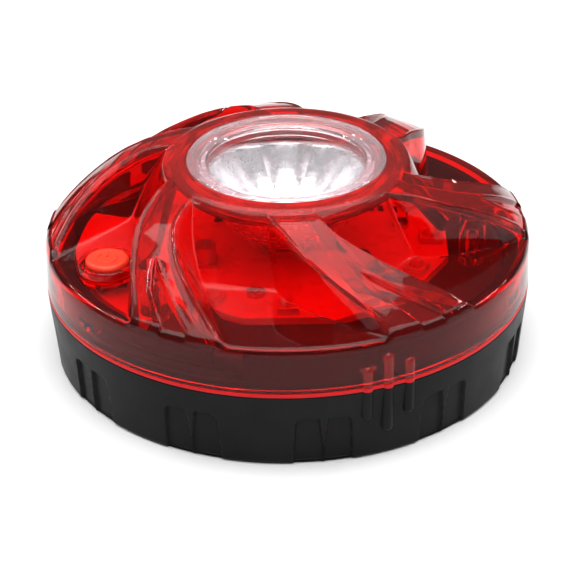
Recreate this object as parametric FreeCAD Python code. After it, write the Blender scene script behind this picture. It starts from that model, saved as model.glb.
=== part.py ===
import FreeCAD, Part
import math
import os
from FreeCAD import Vector

# LED safety flare: a twist-lock puck. Millimetres, +Z up, origin on the ground on the axis.
# The front of the object, with the three alignment ribs, faces -Y. Angles are degrees about +Z.

# ---- overall form --------------------------------------------------------------------------
JOINT_R = 52.5          # outside radius where cover and base meet
JOINT_Z = 17.1          # height of the middle of the seal ring
FOOT_R = 51.2           # outside radius at the bottom of the base
RIM_R = 52.2            # outside radius at the top of the cover's upright band
RIM_Z = 27.4            # height of that edge
TOP_Z = 44.1            # top of the lens rim
WALL = 2.0              # moulded wall of the cover

# ---- cover: blades and pockets -------------------------------------------------------------
POCKETS = 6
# crest of the blades from the top ring to the rim: radius, height
CREST = [(25.4, 43.7), (31.5, 42.1), (38.5, 39.1), (44.0, 35.4), (48.8, 31.1), (RIM_R, RIM_Z)]
FLOOR_R, FLOOR_Z = 33.0, 29.1      # inner foot of a pocket floor
FLOOR_FALL = (FLOOR_Z - RIM_Z) / (RIM_R - FLOOR_R)
FOOT_LEVEL, CREST_LEVEL = 29.1, 43.5
POCKET_MIDDLE = (44.0, -30.0)      # radius and angle of a point well inside the first pocket
# one pocket, seen from above, as radius and angle: four sides, at floor level and at crest level
POCKET_FOOT = [
    [(34.0, -61.0), (32.4, -47.0), (32.1, -33.3)],
    [(32.1, -33.3), (35.4, -30.4), (41.3, -20.6), (48.0, -11.6), (55.0, -4.0)],
    [(55.0, -4.0), (60.0, -23.0), (55.0, -41.5)],
    [(55.0, -41.5), (49.3, -44.7), (43.5, -48.9), (37.9, -54.6), (34.0, -61.0)],
]
POCKET_CREST = [
    [(26.6, -76.0), (26.3, -58.0), (26.3, -40.5)],
    [(26.3, -40.5), (31.0, -33.0), (38.0, -25.2), (45.0, -15.2), (55.0, -3.0)],
    [(55.0, -3.0), (60.0, -27.0), (55.0, -51.0)],
    [(55.0, -51.0), (46.5, -61.5), (40.0, -67.5), (33.0, -72.6), (26.6, -76.0)],
]
# shallow triangular groove on each blade: radius, angle, depth below the crest
GROOVE = [(41.2, -69.0), (46.3, -65.6), (52.9, -58.0), (52.9, -50.6), (47.0, -58.0)]
GROOVE_DEPTH = 0.8

# ---- alignment ribs across the joint: angle, lowest point, highest point -----------------------
RIBS = [(-72.8, 9.6, 22.2), (-68.0, 6.1, 24.6), (-62.8, 9.2, 22.3)]
RIB_R = 1.25
RIB_AT = 51.8

# ---- seal ring ---------------------------------------------------------------------------------
SEAL_H = 0.9
SEAL_GAP = 0.1          # between the seal ring and the cover that turns above it
BAND_IN = 50.2          # inside radius of the cover's upright band

# ---- lens, reflector and spot light -----------------------------------------------------------
LENS_R = 21.3
LENS_SEAT_R = 21.4
BORE_R = 19.4
LENS_COLLAR_R, LENS_COLLAR_Z = 23.8, 44.0      # thick ring of the cover round the lens
SEAT_Z = 41.0
SKIRT_Z = 39.9          # bottom of the lens skirt, top of the reflector flange
PETALS = 8
PETAL_CUSP = 0.93       # radius of the creases between petals, as a share of the bowl's
REFLECTOR_R = 19.0
LED_Z = 25.2            # top of the heat spreader, foot of the white LED
LED_HALF = 1.75
LED_DOME_R = 1.5

# ---- power button ------------------------------------------------------------------------------
BUTTON_AT, BUTTON_ANGLE = 42.3, -152.0
BUTTON_R = 4.6
BUTTON_TOP = 30.9
SIGN_R, SIGN_W, SIGN_H = 2.6, 0.5, 0.15     # raised power sign on the cap
BUTTON_GAP = 0.35
FLANGE_R, FLANGE_T = 5.4, 0.7
FLANGE_Z = 27.05        # underside of the flange that holds the cap in
BOSS_R = 6.2
BOSS_TOP = 30.2

SWITCH_HALF, SWITCH_TOP = 3.0, 26.2
PLUNGER_R, PLUNGER_Z0, PLUNGER_Z1 = 1.7, 25.4, 27.0

# ---- twist lock --------------------------------------------------------------------------------
LOCKS = 3
LOCK_ANGLE = 96.0       # middle of the first lug when locked
LOCK_TURN = 40.0
LUG_HALF = 3.0          # half the lug's width, degrees
LUG_Z0, LUG_Z1 = 19.6, 21.6
LUG_IN = 48.4
LUG_GAP = 0.4           # between a lug and its slot, above and below
LUG_SIDE_GAP = 0.6      # the same to the sides, degrees
COLLAR_IN, COLLAR_OUT, COLLAR_TOP = 47.8, 49.8, 24.8

# ---- base --------------------------------------------------------------------------------------
SHOULDER_Z = JOINT_Z - SEAL_H / 2      # the seal ring lies on this shoulder
NOTCHES = 12
NOTCH_ANGLE = -52.5
MAGNET_CUP_R = 13.0
MAGNET_CUP_Z0, MAGNET_CUP_Z1 = 0.6, 4.6
MAGNET_CUP_WALL = 1.0
MAGNET_TOP = 3.4
MAGNET_HOLE_R = 1.7
HOOK_PIVOT_Y, HOOK_Z = 43.5, 3.0
HOOK_EYE_Y = 28.0
HOOK_OUT, HOOK_IN = 9.5, 5.5
HOOK_THICK = 3.6
HOOK_HUB_R, HOOK_HUB_HALF = 2.4, 8.0
HOOK_SHANK_HALF = 4.0
HOOK_MOUTH = 26.0       # half the opening of the hook's eye, degrees
PIN_R, PIN_HALF = 1.0, 12.0
PAD_R, PAD_T, PAD_AT = 3.5, 1.8, 42.0

# ---- deck, board and cells ---------------------------------------------------------------------
DECK_R, DECK_Z0, DECK_Z1 = 46.3, 20.2, 22.0
BOARD_T = 1.6
BOARD_TOP = DECK_Z1 + BOARD_T
CELL_R, CELL_Z, CELL_PITCH = 5.2, 12.6, 11.2
CELL_HALF = 22.25
BED_GAP = 0.05          # between a cell and its saddle
BAY_X, BAY_Y, BAY_TOP = 26.6, 17.2, 18.6
CAN_LENGTH = 43.7       # cell without its nub
NUB_R = 1.9
SCREW_AT = 40.0
SCREW_R = 1.0           # shanks of the carrier and board screws
BOSS_FOR_SCREW_R = 2.8
SCREW_ANGLES = [-12.5, 107.5, 227.5]
BOARD_SCREW_AT = 25.5
BOARD_SCREW_ANGLES = [15.0, 135.0, 255.0]

# ---- parts on the board --------------------------------------------------------------------------
BOARD_R, BOARD_LOBE_R = 35.5, 45.8      # twelve-sided board, and its lobe under the button
LOBE_MIDDLE, LOBE_HALF = -164.0, 34.0   # the lobe's middle and half its width, degrees
RED_LEDS, RED_LED_AT, RED_LED_HALF, RED_LED_LENS_R = 12, 31.2, 2.2, 1.7
COIL_X, COIL_Y, COIL_R, COIL_H, COIL_CORE_R = 14.5, -12.0, 2.9, 2.8, 2.2
CAP_X, CAP_Y, CAP_R, CAP_H, CAP_FOOT_H = -17.5, -9.5, 2.4, 4.6, 0.7
CHIP_X, CHIP_HALF = -14.0, 2.0
CHIP_Y0, CHIP_Y1, CHIP_LEG_PITCH = 9.2, 14.3, 1.3
RESISTORS, RESISTOR_X, RESISTOR_PITCH, RESISTOR_Y = 6, 12.0, 2.2, 13.0
RESISTOR_W, RESISTOR_L, RESISTOR_H = 1.2, 2.0, 0.5

ORIGIN = Vector(0, 0, 0)
UP = Vector(0, 0, 1)
ALONG_X = Vector(1, 0, 0)


def polar(radius, angle, z=0.0):
    a = math.radians(angle)
    return Vector(radius * math.cos(a), radius * math.sin(a), z)


def cylinder(radius, z0, z1, centre=ORIGIN):
    return Part.makeCylinder(radius, z1 - z0, Vector(centre.x, centre.y, z0), UP)


def ring(r_in, r_out, z0, z1):
    return cylinder(r_out, z0, z1).cut(cylinder(r_in, z0 - 1, z1 + 1))


def block(x0, x1, y0, y1, z0, z1):
    return Part.makeBox(x1 - x0, y1 - y0, z1 - z0, Vector(x0, y0, z0))


def turned(shape, angle):
    copy = shape.copy()
    copy.rotate(ORIGIN, UP, angle)
    return copy


def moved(shape, x, y, z):
    copy = shape.copy()
    copy.translate(Vector(x, y, z))
    return copy


def curve(points):
    line = Part.BSplineCurve()
    line.interpolate(points)
    return line.toShape()


def revolve(profile):
    """Solid turned about the axis from (radius, height) points; a nested list is a smooth curve."""
    edges = []
    last = None
    first = None
    for item in profile + [None]:
        if item is None:
            start = first
        elif isinstance(item, list):
            start = Vector(item[0][0], 0, item[0][1])
        else:
            start = Vector(item[0], 0, item[1])
        if last is not None and (start - last).Length > 1e-6:
            edges.append(Part.makeLine(last, start))
        if first is None:
            first = start
        last = start
        if isinstance(item, list):
            points = [Vector(r, 0, z) for r, z in item]
            edges.append(curve(points))
            last = points[-1]
    face = Part.Face(Part.Wire(edges))
    return face.revolve(ORIGIN, UP, 360)


def fuse(shapes):
    return shapes[0].multiFuse(shapes[1:]).removeSplitter() if len(shapes) > 1 else shapes[0]


def group(solids):
    return Part.makeCompound(solids)


# ---- pocket tools ------------------------------------------------------------------------------
def pocket_side(index, point, z, grow):
    """A point of one pocket side at height z; grow moves it outwards, away from the pocket."""
    foot_r, foot_a = POCKET_FOOT[index][point]
    low = polar(foot_r, foot_a)
    count = len(POCKET_FOOT[index])
    crest_r, crest_a = POCKET_CREST[index][point]
    high = polar(crest_r, crest_a)
    share = (z - FOOT_LEVEL) / (CREST_LEVEL - FOOT_LEVEL)
    here = low + (high - low) * share
    normal = side_normal(index, point, count)
    if point in (0, count - 1):
        other = (index - 1) % 4 if point == 0 else (index + 1) % 4
        far = len(POCKET_FOOT[other]) - 1 if point == 0 else 0
        normal = normal + side_normal(other, far, len(POCKET_FOOT[other]))
    here = here + normal * grow
    return Vector(here.x, here.y, z)


def side_normal(index, point, count):
    a = polar(*POCKET_FOOT[index][max(point - 1, 0)])
    b = polar(*POCKET_FOOT[index][min(point + 1, count - 1)])
    along = (b - a).normalize()
    normal = Vector(-along.y, along.x, 0)
    if normal.dot(a - polar(*POCKET_MIDDLE)) < 0:
        normal = normal * -1
    return normal


def pocket_outline(z, grow):
    edges = []
    for index in range(4):
        count = len(POCKET_FOOT[index])
        edges.append(curve([pocket_side(index, p, z, grow) for p in range(count)]))
    return Part.Wire(edges)


def pocket_tool(grow, drop):
    """The space of one pocket; grow widens it and drop lowers its floor (used for the inside)."""
    low, high = 24.0, 47.0
    prism = Part.makeLoft([pocket_outline(low, grow), pocket_outline(high, grow)], True, True)
    inner, outer = 20.0, 64.0
    above_floor = revolve([
        (inner, FLOOR_Z - drop + (FLOOR_R - inner) * FLOOR_FALL),
        (outer, FLOOR_Z - drop - (outer - FLOOR_R) * FLOOR_FALL),
        (outer, high), (inner, high)])
    return prism.common(above_floor)


def around(shape, count):
    return [turned(shape, 360.0 / count * k) for k in range(count)]


def rib_solids(z_low, z_high):
    """The three alignment ribs between two heights: rounded ends, cut flat at the joint."""
    parts = []
    for angle, bottom, top in RIBS:
        z0 = max(bottom + RIB_R, z_low)
        z1 = min(top - RIB_R, z_high)
        centre = polar(RIB_AT, angle)
        rib = cylinder(RIB_R, z0, z1, centre)
        if bottom > z_low:
            rib = rib.fuse(Part.makeSphere(RIB_R, Vector(centre.x, centre.y, z0)))
        if top < z_high:
            rib = rib.fuse(Part.makeSphere(RIB_R, Vector(centre.x, centre.y, z1)))
        parts.append(rib)
    return parts


# ---- cover body --------------------------------------------------------------------------------
def make_dome_cover():
    bottom = JOINT_Z + SEAL_H / 2 + SEAL_GAP
    outer = revolve([(0, bottom), (JOINT_R, bottom), CREST[::-1],
                     (LENS_COLLAR_R + 1.0, LENS_COLLAR_Z), (0, LENS_COLLAR_Z)])
    inner_crest = [(25.0, 41.6), (30.9, 40.1), (37.5, 37.2), (42.6, 33.7), (47.2, 29.6), (BAND_IN, 26.0)]
    hollow = revolve([(0, bottom - 1), (BAND_IN, bottom - 1), inner_crest[::-1], (0, 41.6)])
    pockets = around(pocket_tool(0.0, 0.0), POCKETS)
    pocket_backs = around(pocket_tool(WALL, WALL), POCKETS)
    groove = blade_groove()
    outer = outer.cut(group(pockets)).cut(group(around(groove, POCKETS)))
    hollow = hollow.cut(group(pocket_backs))
    cover = outer.cut(hollow)

    # seat for the lens and the bore below it
    cover = cover.fuse(cylinder(LENS_COLLAR_R, SEAT_Z - WALL, LENS_COLLAR_Z))
    cover = cover.cut(cylinder(LENS_SEAT_R, SEAT_Z, TOP_Z + 2))
    cover = cover.cut(cylinder(BORE_R, SEAT_Z - 5, TOP_Z))

    # boss round the button, with a wider space below for the button's flange
    at = polar(BUTTON_AT, BUTTON_ANGLE)
    cover = cover.fuse(cylinder(BOSS_R, 26.4, BOSS_TOP, at))
    cover = cover.cut(cylinder(BUTTON_R + BUTTON_GAP, 25.0, BOSS_TOP + 2, at))
    cover = cover.cut(cylinder(FLANGE_R + 0.4, 25.0, FLANGE_Z + FLANGE_T + 0.25, at))

    # screw bosses under three blades
    for angle in SCREW_ANGLES:
        at = polar(SCREW_AT, angle)
        boss = cylinder(BOSS_FOR_SCREW_R, DECK_Z1, 38.0, at).common(outer)
        cover = cover.fuse(boss).cut(cylinder(SCREW_R + 0.1, DECK_Z1 - 1, DECK_Z1 + 9.0, at))

    # three lugs inside the band, and the ribs outside
    lug = ring(LUG_IN, BAND_IN + 0.5, LUG_Z0, LUG_Z1).common(wedge(LUG_HALF, LUG_Z0, LUG_Z1))
    lug = turned(lug, LOCK_ANGLE)
    cover = cover.fuse(around(lug, LOCKS) + rib_solids(bottom, 40.0))
    return cover.removeSplitter()


def wedge(half, z0, z1):
    far = 80.0
    points = [ORIGIN, polar(far, -half), polar(far, half), ORIGIN]
    face = Part.Face(Part.makePolygon([Vector(p.x, p.y, z0) for p in points]))
    return face.extrude(Vector(0, 0, z1 - z0))


def blade_groove():
    """Shallow triangular recess that follows the crest of one blade."""
    points = [polar(r, a, 20.0) for r, a in GROOVE]
    prism = Part.Face(Part.makePolygon(points + [points[0]])).extrude(Vector(0, 0, 30))
    sunk = [(r, z - GROOVE_DEPTH) for r, z in CREST[:-1]]
    sunk.append((RIM_R + 1.2, RIM_Z - 1.5 * GROOVE_DEPTH))
    above = revolve([sunk, (60.0, RIM_Z), (60.0, 50.0), (CREST[0][0], 50.0)])
    return prism.common(above)


def make_seal_ring():
    z0, z1 = JOINT_Z - SEAL_H / 2, JOINT_Z + SEAL_H / 2
    body = ring(COLLAR_OUT, JOINT_R + 0.05, z0, z1)
    beads = [cylinder(RIB_R + 0.05, z0, z1, polar(RIB_AT, angle)) for angle, low, high in RIBS]
    return fuse([body] + beads)


def make_clear_lens():
    return revolve([
        (0, 41.2), (17.3, 41.2), (17.3, SKIRT_Z), (19.2, SKIRT_Z), (19.2, SEAT_Z), (LENS_R, SEAT_Z),
        (LENS_R, 43.7), (20.9, TOP_Z), (20.1, TOP_Z), (19.8, 43.8), (18.6, 43.7), (18.3, 43.4),
        (17.4, 43.3), (17.0, 42.8), (0, 42.8)])


def scalloped(radius, z):
    """Closed outline of equal outward arcs that meet in inward cusps."""
    cusp = radius * PETAL_CUSP
    edges = []
    for k in range(PETALS):
        middle = 90.0 + 360.0 / PETALS * k
        half = 180.0 / PETALS
        ends = polar(cusp, middle - half, z), polar(cusp, middle + half, z)
        edges.append(Part.Arc(ends[0], polar(radius, middle, z), ends[1]).toShape())
    return Part.Wire(edges)


def make_reflector():
    shell = revolve([
        (0, LED_Z), (6.0, LED_Z), (6.0, 25.6), [(10.0, 26.8), (14.6, 31.4), (17.2, 36.6), (17.8, 38.9)],
        (REFLECTOR_R, 38.9), (REFLECTOR_R, SKIRT_Z), (0, SKIRT_Z)])
    bowl = [(3.4, 25.6), (9.0, 27.8), (13.4, 32.2), (16.0, 37.0), (16.9, SKIRT_Z + 0.1)]
    inside = Part.makeLoft([scalloped(r, z) for r, z in bowl], True, True)
    return shell.cut(inside).cut(cylinder(3.1, 24.0, 26.0))


def make_led_heat_spreader():
    return cylinder(8.0, BOARD_TOP, LED_Z)


def make_white_led():
    top = LED_Z + 0.8
    body = block(-LED_HALF, LED_HALF, -LED_HALF, LED_HALF, LED_Z, top)
    below = cylinder(2 * LED_HALF, LED_Z - 2, LED_Z)
    return body.fuse(Part.makeSphere(LED_DOME_R, Vector(0, 0, top))).cut(below)


def make_main_pcb():
    corners = [polar(BOARD_R, 15 + 30 * k, DECK_Z1) for k in range(12)]
    board = Part.Face(Part.makePolygon(corners + [corners[0]])).extrude(Vector(0, 0, BOARD_T))
    sector = turned(wedge(LOBE_HALF, DECK_Z1, BOARD_TOP), LOBE_MIDDLE)
    lobe = cylinder(BOARD_LOBE_R, DECK_Z1, BOARD_TOP).common(sector)
    board = board.fuse(lobe)
    for angle in BOARD_SCREW_ANGLES:
        board = board.cut(cylinder(SCREW_R + 0.2, DECK_Z0, 30.0, polar(BOARD_SCREW_AT, angle)))
    for angle in SCREW_ANGLES:
        board = board.cut(cylinder(BOSS_FOR_SCREW_R + 0.4, DECK_Z0, 30.0, polar(SCREW_AT, angle)))
    return board.cut(tab_slots(DECK_Z1 - 1, BOARD_TOP + 1)).removeSplitter()


def pan_screw(at, z_seat, length, head_r, head_h, upward):
    """Pan-head screw: the head rests at z_seat and the shank points up or down."""
    if upward:
        head = cylinder(head_r, z_seat - head_h, z_seat, at)
        shank = cylinder(SCREW_R, z_seat - 0.2, z_seat + length, at)
        slot = block(-head_r, head_r, -0.3, 0.3, z_seat - head_h - 1, z_seat - head_h + 0.5)
    else:
        head = cylinder(head_r, z_seat, z_seat + head_h, at)
        shank = cylinder(SCREW_R, z_seat - length, z_seat + 0.2, at)
        slot = block(-head_r, head_r, -0.3, 0.3, z_seat + head_h - 0.5, z_seat + head_h + 1)
    cross = slot.fuse(turned(slot, 90)).common(cylinder(head_r * 0.6, 0, 60))
    return head.fuse(shank).cut(moved(cross, at.x, at.y, 0))


def make_pcb_screws():
    return group([pan_screw(polar(BOARD_SCREW_AT, a), BOARD_TOP, length=3.2, head_r=2.0, head_h=1.2,
                            upward=False) for a in BOARD_SCREW_ANGLES])


def make_red_leds():
    x, half = RED_LED_AT, RED_LED_HALF
    body = block(x - half, x + half, -half, half, BOARD_TOP, BOARD_TOP + 1.5)
    lens = Part.makeSphere(RED_LED_LENS_R, Vector(x, 0, BOARD_TOP + 1.2))
    below = cylinder(2 * half, BOARD_TOP - 3, BOARD_TOP, Vector(x, 0, 0))
    return group(around(body.fuse(lens).cut(below), RED_LEDS))


def make_control_chip():
    x0, x1 = CHIP_X - CHIP_HALF, CHIP_X + CHIP_HALF
    body = block(x0, x1, CHIP_Y0, CHIP_Y1, BOARD_TOP + 0.1, BOARD_TOP + 1.6)
    legs = []
    for k in range(4):
        y = CHIP_Y0 + 0.4 + CHIP_LEG_PITCH * k
        legs.append(block(x0 - 0.4, x1 + 0.4, y, y + 0.4, BOARD_TOP, BOARD_TOP + 0.3))
    return fuse([body] + legs)


def make_driver_coil():
    at = Vector(COIL_X, COIL_Y, 0)
    coil = cylinder(COIL_R, BOARD_TOP, BOARD_TOP + COIL_H, at)
    groove = ring(COIL_CORE_R, COIL_R + 1, BOARD_TOP + 0.8, BOARD_TOP + COIL_H - 0.8)
    return coil.cut(moved(groove, COIL_X, COIL_Y, 0))


def make_capacitor():
    can = cylinder(CAP_R, BOARD_TOP, BOARD_TOP + CAP_H, Vector(CAP_X, CAP_Y, 0))
    half = CAP_R + 0.2
    foot = block(-half, half, -half, half, BOARD_TOP, BOARD_TOP + CAP_FOOT_H)
    return can.fuse(moved(foot, CAP_X, CAP_Y, 0))


def make_resistors():
    parts = []
    y0, y1 = RESISTOR_Y, RESISTOR_Y + RESISTOR_L
    for k in range(RESISTORS):
        x = RESISTOR_X + RESISTOR_PITCH * k
        parts.append(block(x, x + RESISTOR_W, y0, y1, BOARD_TOP, BOARD_TOP + RESISTOR_H))
    return group(parts)


def make_switch_body():
    at = polar(BUTTON_AT, BUTTON_ANGLE)
    half = SWITCH_HALF
    body = block(-half, half, -half, half, BOARD_TOP, SWITCH_TOP)
    body = body.cut(cylinder(PLUNGER_R + 0.08, PLUNGER_Z0 - 0.6, PLUNGER_Z1 + 1))
    return moved(turned(body, BUTTON_ANGLE), at.x, at.y, 0)


def make_switch_plunger():
    return cylinder(PLUNGER_R, PLUNGER_Z0, PLUNGER_Z1, polar(BUTTON_AT, BUTTON_ANGLE))


def make_power_button():
    at = polar(BUTTON_AT, BUTTON_ANGLE)
    flange_top = FLANGE_Z + FLANGE_T
    cap = revolve([(0, FLANGE_Z), (FLANGE_R, FLANGE_Z), (FLANGE_R, flange_top), (BUTTON_R, flange_top),
                   (BUTTON_R, BUTTON_TOP - 0.7), (BUTTON_R - 0.5, BUTTON_TOP - 0.2),
                   (3.2, BUTTON_TOP), (0, BUTTON_TOP)])
    z0, z1 = BUTTON_TOP - 0.1, BUTTON_TOP + SIGN_H
    sign = ring(SIGN_R - SIGN_W, SIGN_R, z0, z1)
    gap = block(-0.7, 0.7, 0, 4, z0 - 1, z1 + 1)
    bar = block(-SIGN_W / 2, SIGN_W / 2, 0.6, SIGN_R, z0, z1)
    cap = cap.fuse([sign.cut(gap), bar])
    return moved(cap.removeSplitter(), at.x, at.y, 0)


def make_carrier():
    deck = cylinder(DECK_R, DECK_Z0, DECK_Z1)
    bay = block(-BAY_X - 1.6, BAY_X + 1.6, -BAY_Y - 1.4, BAY_Y + 1.4, 8.2, DECK_Z0)
    room = block(-BAY_X, BAY_X, -BAY_Y, BAY_Y, 7.0, BAY_TOP)
    body = deck.fuse(bay).cut(room)
    # saddles above the cells
    for x in (-14.0, 14.0):
        saddle = block(x - 1, x + 1, -BAY_Y, BAY_Y, 15.0, BAY_TOP + 0.2)
        for k in (-1, 0, 1):
            bed = Part.makeCylinder(CELL_R + BED_GAP, 4, Vector(x - 2, k * CELL_PITCH, CELL_Z), ALONG_X)
            saddle = saddle.cut(bed)
        body = body.fuse(saddle)
    for angle in SCREW_ANGLES:
        body = body.cut(cylinder(SCREW_R + 0.2, DECK_Z0 - 5, DECK_Z1 + 3, polar(SCREW_AT, angle)))
    for angle in BOARD_SCREW_ANGLES:
        at = polar(BOARD_SCREW_AT, angle)
        body = body.cut(cylinder(SCREW_R + 0.05, BAY_TOP + 0.6, DECK_Z1 + 3, at))
    body = body.cut(tab_slots(BAY_TOP - 0.5, DECK_Z1 + 1))
    # stiffening rim under the edge of the deck
    body = body.fuse(ring(DECK_R - 1.6, DECK_R, 18.4, DECK_Z0 + 0.2))
    return body.removeSplitter()


def make_carrier_screws():
    return group([pan_screw(polar(SCREW_AT, a), DECK_Z0, length=9.0, head_r=2.3, head_h=1.4,
                            upward=True) for a in SCREW_ANGLES])


def cell_way(k):
    """Neighbouring cells point opposite ways."""
    return 1 if k % 2 == 0 else -1


def make_battery_cell(k):
    way = cell_way(k)
    start = Vector(-CELL_HALF * way, k * CELL_PITCH, CELL_Z)
    axis = Vector(way, 0, 0)
    can = Part.makeCylinder(CELL_R, CAN_LENGTH, start, axis)
    nub = Part.makeCylinder(NUB_R, 2 * CELL_HALF, start, axis)
    return can.fuse(nub)


def make_contact_springs():
    """Bowed nickel leaves that press on the flat ends of the cells."""
    leaves = []
    end, wall, thick = CELL_HALF, BAY_X - 0.5, 0.3
    outline = [(wall, -3.6), (wall - thick, -3.6), (end, -0.8), (end, 0.8), (wall - thick, 3.6),
               (wall, 3.6), (wall, 3.3), (end + thick, 0.7), (end + thick, -0.7), (wall, -3.3)]
    for k in (-1, 0, 1):
        side = -cell_way(k)
        y = k * CELL_PITCH
        points = [Vector(side * x, y - 2.5, CELL_Z + z) for x, z in outline]
        leaves.append(Part.Face(Part.makePolygon(points + [points[0]])).extrude(Vector(0, 5.0, 0)))
    return group(leaves)


def contact_plate(rows, side):
    """Nickel strip on the end wall of the bay for one cell, or joining two neighbours."""
    x0 = BAY_X - 0.5 if side > 0 else -BAY_X
    plate = block(x0, x0 + 0.5, min(rows) * CELL_PITCH - 4.2, max(rows) * CELL_PITCH + 4.2, 8.6, BAY_TOP)
    for k in rows:
        if cell_way(k) == side:
            start = Vector(CELL_HALF * side, k * CELL_PITCH, CELL_Z)
            length = BAY_X - 0.25 - CELL_HALF
            plate = plate.fuse(Part.makeCylinder(2.2, length, start, Vector(side, 0, 0)))
    if len(rows) == 1:
        y = rows[0] * CELL_PITCH
        plate = plate.fuse(block(x0, x0 + 0.5, y - 0.8, y + 0.8, BAY_TOP - 1.0, BOARD_TOP + 0.8))
    return plate.removeSplitter()


def make_contact_plates():
    return group([contact_plate(rows, side)
                  for rows, side in (([-1, 0], 1), ([0, 1], -1), ([-1], -1), ([1], 1))])


def tab_slots(z0, z1):
    """Slots for the two end tabs that reach the board."""
    return [block(side * (BAY_X - 0.25) - 0.3, side * (BAY_X - 0.25) + 0.3,
                  side * CELL_PITCH - 0.9, side * CELL_PITCH + 0.9, z0, z1) for side in (-1, 1)]


# ---- base body ---------------------------------------------------------------------------------
def lock_slot():
    """Level slot through the collar for one lug, open at the top at its far end."""
    half = LUG_HALF + LUG_SIDE_GAP
    r0, r1 = COLLAR_IN - 1.0, COLLAR_OUT + 0.6
    z0, z1 = LUG_Z0 - LUG_GAP, LUG_Z1 + LUG_GAP
    top = COLLAR_TOP + 2.0
    run = ring(r0, r1, z0, z1).common(turned(wedge(LOCK_TURN / 2 + half, z0, z1), LOCK_TURN / 2))
    mouth = ring(r0, r1, z0, top).common(turned(wedge(half, z0, top), LOCK_TURN))
    return turned(run.fuse(mouth), LOCK_ANGLE)


def grip_notch():
    """Recess in the outer wall, open at the bottom, with a small wedge in the middle."""
    outline = [(-6.3, -1.0), (-5.7, 10.4), (-4.8, 11.5), (-0.8, 11.5), (0.0, 4.0),
               (0.8, 11.5), (4.8, 11.5), (5.7, 10.4), (6.3, -1.0), (-6.3, -1.0)]
    face = Part.Face(Part.makePolygon([Vector(50.9, y, z) for y, z in outline]))
    return turned(face.extrude(Vector(6, 0, 0)), NOTCH_ANGLE)


def make_base_shell():
    shell = revolve([
        (0, 1.0), (47.5, 1.0), (47.5, 0.2), (50.5, 0.2), (51.0, 0.35), (FOOT_R, 0.8),
        (JOINT_R, SHOULDER_Z), (COLLAR_OUT, SHOULDER_Z), (COLLAR_OUT, COLLAR_TOP - 0.4),
        (COLLAR_OUT - 0.4, COLLAR_TOP), (COLLAR_IN, COLLAR_TOP), (COLLAR_IN, 14.5), (49.2, 12.5),
        (49.2, 3.2), (0, 3.2)])
    seat = cylinder(MAGNET_CUP_R + 2.0, 1.0, 6.2)
    hook_room = block(-10.2, 10.2, 17.6, 46.6, -1.0, 5.6)
    hook_box = block(-12.8, 12.8, 16.0, 48.0, 1.0, 7.0)
    shell = shell.fuse([seat, hook_box])
    shell = shell.fuse(rib_solids(0.0, SHOULDER_Z))
    shell = shell.cut(hook_room)
    shell = shell.cut(cylinder(MAGNET_CUP_R + 0.1, -1.0, MAGNET_CUP_Z1))
    shell = shell.cut(cylinder(1.5, 0.0, 6.0))
    shell = shell.cut(group(around(lock_slot(), LOCKS)))
    shell = shell.cut(group(around(grip_notch(), NOTCHES)))
    shell = shell.cut(make_hook_pin())
    for k in range(4):
        shell = shell.cut(cylinder(PAD_R, 0.0, PAD_T, polar(PAD_AT, 45 + 90 * k)))
    return shell.removeSplitter()


def make_foot_pads():
    pads = []
    for k in range(4):
        pad = cylinder(PAD_R, 0.0, PAD_T, polar(PAD_AT, 45 + 90 * k))
        pads.append(pad.makeChamfer(0.3, [e for e in pad.Edges if e.BoundBox.ZMax < 0.01]))
    return group(pads)


def make_magnet_cup():
    cup = cylinder(MAGNET_CUP_R, MAGNET_CUP_Z0, MAGNET_CUP_Z1)
    cup = cup.cut(cylinder(MAGNET_CUP_R - MAGNET_CUP_WALL, -1.0, MAGNET_TOP))
    return cup.cut(cylinder(MAGNET_HOLE_R - 0.1, -1.0, 8.0))


def make_magnet():
    body = cylinder(MAGNET_CUP_R - MAGNET_CUP_WALL, MAGNET_CUP_Z0 + 0.1, MAGNET_TOP)
    cone = Part.makeCone(2.9, MAGNET_HOLE_R, 1.6, Vector(0, 0, MAGNET_CUP_Z0 + 0.1), UP)
    return body.cut(cylinder(MAGNET_HOLE_R, -1.0, 8.0)).cut(cone)


def make_magnet_screw():
    head = Part.makeCone(2.8, 1.45, 1.5, Vector(0, 0, MAGNET_CUP_Z0 + 0.2), UP)
    shank = cylinder(1.45, MAGNET_CUP_Z0 + 0.3, 5.9)
    slot = block(-1.6, 1.6, -0.3, 0.3, 0.0, MAGNET_CUP_Z0 + 0.9)
    return head.fuse(shank).cut(slot).cut(turned(slot, 90))


def make_hook_pin():
    return Part.makeCylinder(PIN_R, 2 * PIN_HALF, Vector(-PIN_HALF, HOOK_PIVOT_Y, HOOK_Z), ALONG_X)


def make_hook():
    z0, z1 = HOOK_Z - HOOK_THICK / 2, HOOK_Z + HOOK_THICK / 2
    eye = Vector(0, HOOK_EYE_Y, 0)
    body = cylinder(HOOK_OUT, z0, z1, eye)
    shank = block(-HOOK_SHANK_HALF, HOOK_SHANK_HALF, HOOK_EYE_Y, HOOK_PIVOT_Y, z0, z1)
    hub_end = Vector(-HOOK_HUB_HALF, HOOK_PIVOT_Y, HOOK_Z)
    hub = Part.makeCylinder(HOOK_HUB_R, 2 * HOOK_HUB_HALF, hub_end, ALONG_X)
    body = body.fuse([shank, hub])
    body = body.cut(cylinder(HOOK_IN, 0.0, 8.0, eye))
    mouth = moved(wedge(HOOK_MOUTH, 0.0, 8.0), 0, HOOK_EYE_Y, 0)
    body = body.cut(mouth.cut(cylinder(1.0, 0.0, 8.0, eye)))
    bore = Part.makeCylinder(PIN_R + 0.06, 30.0, Vector(-15.0, HOOK_PIVOT_Y, HOOK_Z), ALONG_X)
    return body.cut(bore).removeSplitter()


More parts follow.
